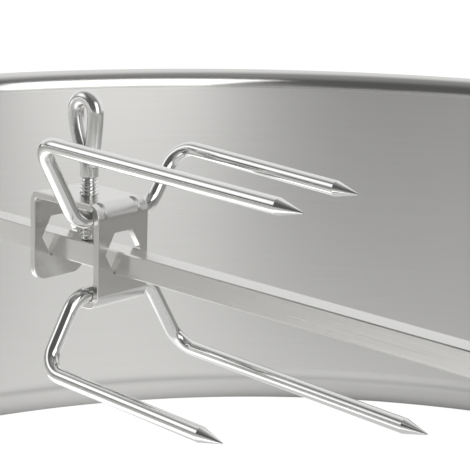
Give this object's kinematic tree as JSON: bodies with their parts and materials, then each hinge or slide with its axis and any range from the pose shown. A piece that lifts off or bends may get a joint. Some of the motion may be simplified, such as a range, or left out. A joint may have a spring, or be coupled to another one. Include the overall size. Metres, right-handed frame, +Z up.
{
  "type": "rotisserie spit roaster",
  "caption": "Stainless rotisserie ring for a round kettle grill with a square spit, clamped meat forks, a grip handle and a lift-off spit motor.",
  "frame": {"origin": "centre of the ring at its bottom edge, on the ring's axis", "axes": "+Z up the ring's axis, +X along the spit towards the handle, motor at -X"},
  "size_m": [0.8012, 0.588, 0.1793],
  "materials": {
    "brushed_band": "brushed round the band",
    "plate_steel": "satin rolled sheet",
    "fastener_steel": "plain stainless",
    "spit_steel": "ground along its length",
    "turned_steel": "turned",
    "grip_black": "heatproof moulding",
    "fork_sheet": "semi-polished sheet",
    "fork_wire": "polished stainless wire",
    "screw_steel": "polished rod with a rolled thread",
    "case_plastic": "fine moulded grain",
    "core_steel": "laminated and varnished",
    "bush_brass": "sintered bearing",
    "gear_steel": "hobbed",
    "switch_plastic": "satin"
  },
  "bodies": {
    "ring": {"ring_shell": "brushed_band", "ring_joint_plate": "plate_steel", "ring_joint_rivets": "fastener_steel", "handle_cradle": "plate_steel", "handle_cradle_screws": "fastener_steel", "handle_cradle_nuts": "fastener_steel", "motor_bracket": "plate_steel", "motor_bracket_screws": "fastener_steel", "motor_bracket_nuts": "fastener_steel"},
    "motor": {"motor_case_base": "case_plastic", "motor_case_cover": "case_plastic", "motor_case_screws": "fastener_steel", "motor_frame_plate": "core_steel", "motor_core": "core_steel", "socket_bush_front": "bush_brass", "socket_bush_rear": "bush_brass", "switch_frame": "switch_plastic", "cord_gland": "switch_plastic"},
    "socket": {"drive_socket": "gear_steel", "output_gear": "gear_steel"},
    "rotor": {"motor_rotor": "core_steel", "motor_pinion": "gear_steel"},
    "rocker": {"switch_rocker": "switch_plastic"},
    "spit": {"spit_rod": "spit_steel", "spit_journal": "turned_steel", "spit_journal_screw": "fastener_steel", "handle_ferrule": "turned_steel", "handle_grip": "grip_black", "handle_pin": "fastener_steel", "handle_cap": "grip_black"},
    "fork_a": {"fork_a_bracket": "fork_sheet", "fork_a_wire_upper": "fork_wire", "fork_a_wire_lower": "fork_wire"},
    "fork_b": {"fork_b_bracket": "fork_sheet", "fork_b_wire_upper": "fork_wire", "fork_b_wire_lower": "fork_wire"},
    "screw_a": {"fork_a_thumb_screw": "screw_steel"},
    "screw_b": {"fork_b_thumb_screw": "screw_steel"}
  },
  "joints": [
    {"name": "motor_lift", "type": "slide", "parent": "ring", "child": "motor", "axis": [0, 0, 1], "range_m": [0, 0.05]},
    {"name": "spit_spin", "type": "hinge", "parent": "motor", "child": "socket", "pos_m": [-0.316, 0, 0.1241], "axis": [1, 0, 0], "continuous": true},
    {"name": "rotor_spin", "type": "hinge", "parent": "motor", "child": "rotor", "pos_m": [-0.312, 0, 0.1561], "axis": [1, 0, 0], "continuous": true},
    {"name": "rocker_tilt", "type": "hinge", "parent": "motor", "child": "rocker", "pos_m": [-0.3505, 0, 0.106], "axis": [0, 1, 0], "range_deg": [0, 14]},
    {"name": "spit_draw", "type": "slide", "parent": "socket", "child": "spit", "axis": [1, 0, 0], "range_m": [0, 0.03]},
    {"name": "fork_a_slide", "type": "slide", "parent": "spit", "child": "fork_a", "axis": [1, 0, 0], "range_m": [-0.1, 0.06]},
    {"name": "fork_b_slide", "type": "slide", "parent": "spit", "child": "fork_b", "axis": [1, 0, 0], "range_m": [-0.06, 0.025]},
    {"name": "screw_a_turn", "type": "hinge", "parent": "fork_a", "child": "screw_a", "pos_m": [-0.1164, 0, 0.1441], "axis": [0, 0, 1], "range_deg": [0, 450]},
    {"name": "screw_b_turn", "type": "hinge", "parent": "fork_b", "child": "screw_b", "pos_m": [0.2004, 0, 0.1441], "axis": [0, 0, 1], "range_deg": [0, 450]}
  ],
  "couplings": [
    {"joint": "rotor_spin", "follows": "spit_spin", "ratio": -3}
  ]
}
